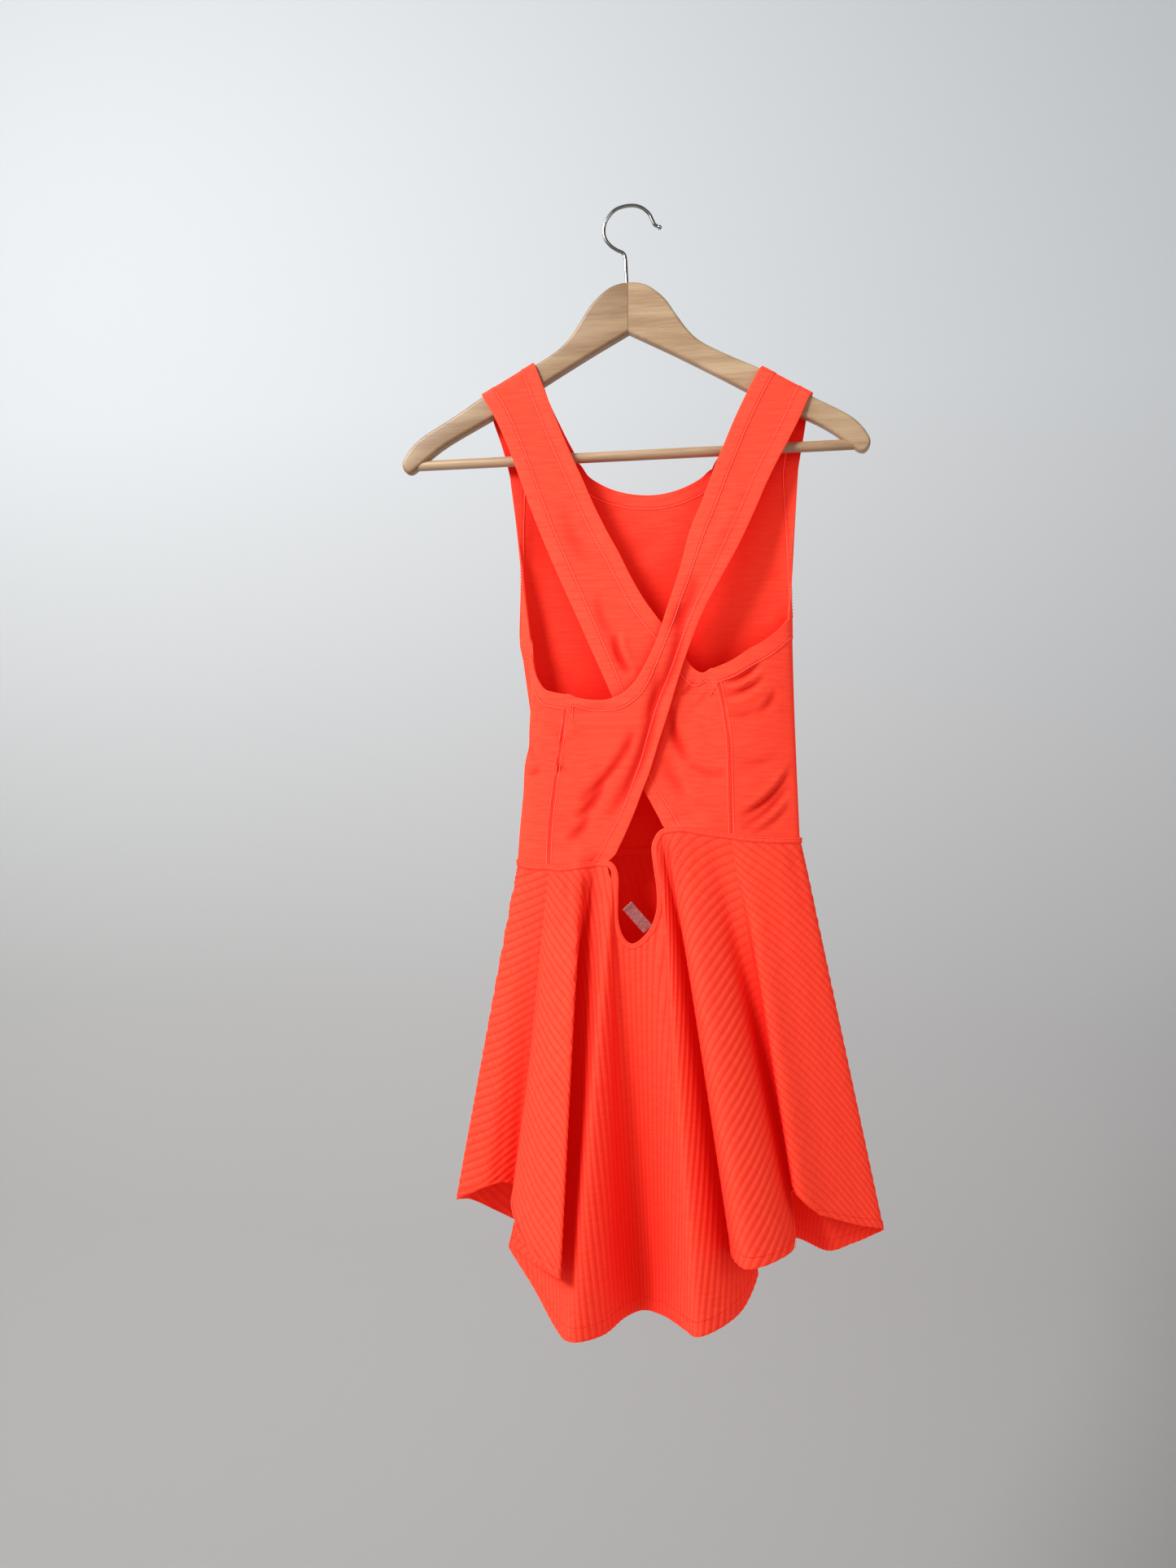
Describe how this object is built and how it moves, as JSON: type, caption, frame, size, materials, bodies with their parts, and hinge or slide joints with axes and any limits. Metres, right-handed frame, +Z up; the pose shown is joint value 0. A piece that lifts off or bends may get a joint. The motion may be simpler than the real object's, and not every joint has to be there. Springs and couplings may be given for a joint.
{
  "type": "tennis dress on a wooden hanger",
  "caption": "Sleeveless jersey tennis dress with crossed back straps, a keyhole back and a ribbed circle skirt, hung on a wooden hanger with a steel hook.",
  "frame": {"origin": "the inside top of the hook, where the nail or rail touches it", "axes": "+X along the hanger, to the right as the open back is seen; -Y out of the dress's back, where the straps cross; +Z up"},
  "size_m": [0.4516, 0.126, 1.0398],
  "materials": {
    "coral_jersey": "matte jersey",
    "coral_band_jersey": "matte jersey band, double stitched",
    "coral_ribbed_jersey": "matte ribbed jersey",
    "clear_film": "clear film",
    "lotus_wood": "satin lacquer",
    "pale_lotus_wood": "satin lacquer",
    "satin_steel": "satin"
  },
  "bodies": {
    "root": {"bodice_front": "coral_jersey", "back_left": "coral_jersey", "back_right": "coral_jersey", "front_neck_band": "coral_band_jersey", "front_left_armhole_band": "coral_band_jersey", "front_right_armhole_band": "coral_band_jersey", "back_left_armhole_band": "coral_band_jersey", "back_left_keyhole_band": "coral_band_jersey", "back_right_armhole_band": "coral_band_jersey", "back_right_keyhole_band": "coral_band_jersey", "waist_binding": "coral_band_jersey", "skirt_back": "coral_ribbed_jersey", "skirt_front": "coral_ribbed_jersey", "clear_tab": "clear_film", "hanger_arm_left": "pale_lotus_wood", "hanger_arm_right": "lotus_wood", "hanger_bar": "pale_lotus_wood", "hanger_hook": "satin_steel", "hanger_hook_tip": "satin_steel"}
  },
  "joints": []
}
